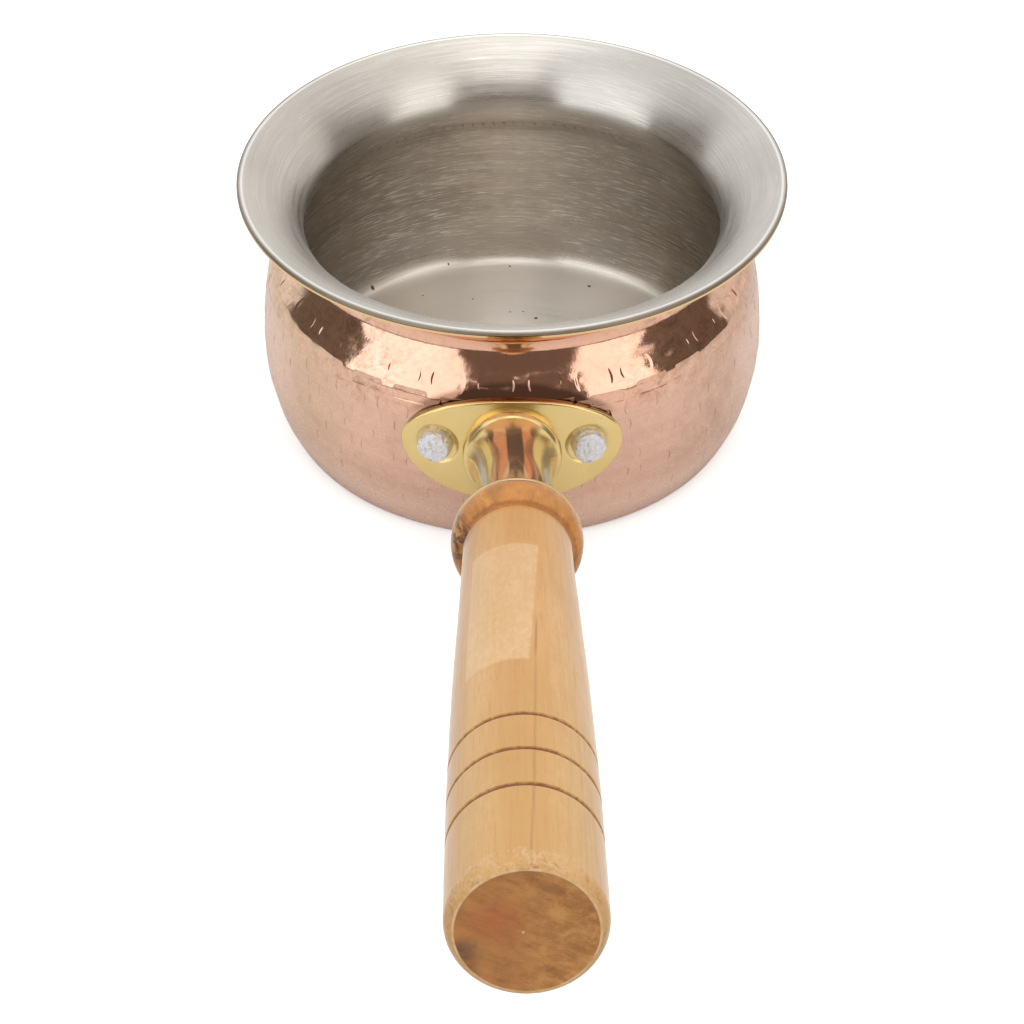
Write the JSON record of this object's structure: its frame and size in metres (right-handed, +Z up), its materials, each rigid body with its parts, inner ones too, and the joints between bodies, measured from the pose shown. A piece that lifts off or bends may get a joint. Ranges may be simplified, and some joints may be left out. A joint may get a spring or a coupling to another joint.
{
  "type": "turkish coffee pot",
  "caption": "Small round coffee pot in hammered copper with a steel lining, a flared pouring rim, a flat base, and a long turned wooden handle on a riveted brass socket.",
  "frame": {"origin": "centre of the flat underside of the pot, where it stands", "axes": "+Z up along the pot's axis; the handle leaves along -Y and rises; +X is to the right when looking along +Y from the handle's end"},
  "size_m": [0.12, 0.283, 0.0784],
  "materials": {
    "copper": "polished copper with hammer marks",
    "liner_steel": "concentric brushed stainless steel",
    "plate_brass": "satin yellow brass",
    "tube_brass": "polished brass",
    "rivet_aluminium": "rough hammered aluminium",
    "stud_steel": "zinc-plated steel",
    "handle_wood": "clear-oiled pale beech"
  },
  "bodies": {
    "root": {"copper_outer_body": "copper", "steel_inner_liner": "liner_steel", "brass_mount_plate": "plate_brass", "brass_ferrule_tube": "tube_brass", "rivet_left": "rivet_aluminium", "rivet_right": "rivet_aluminium", "handle_stud": "stud_steel", "brass_washer": "tube_brass", "wooden_handle": "handle_wood"}
  },
  "joints": []
}
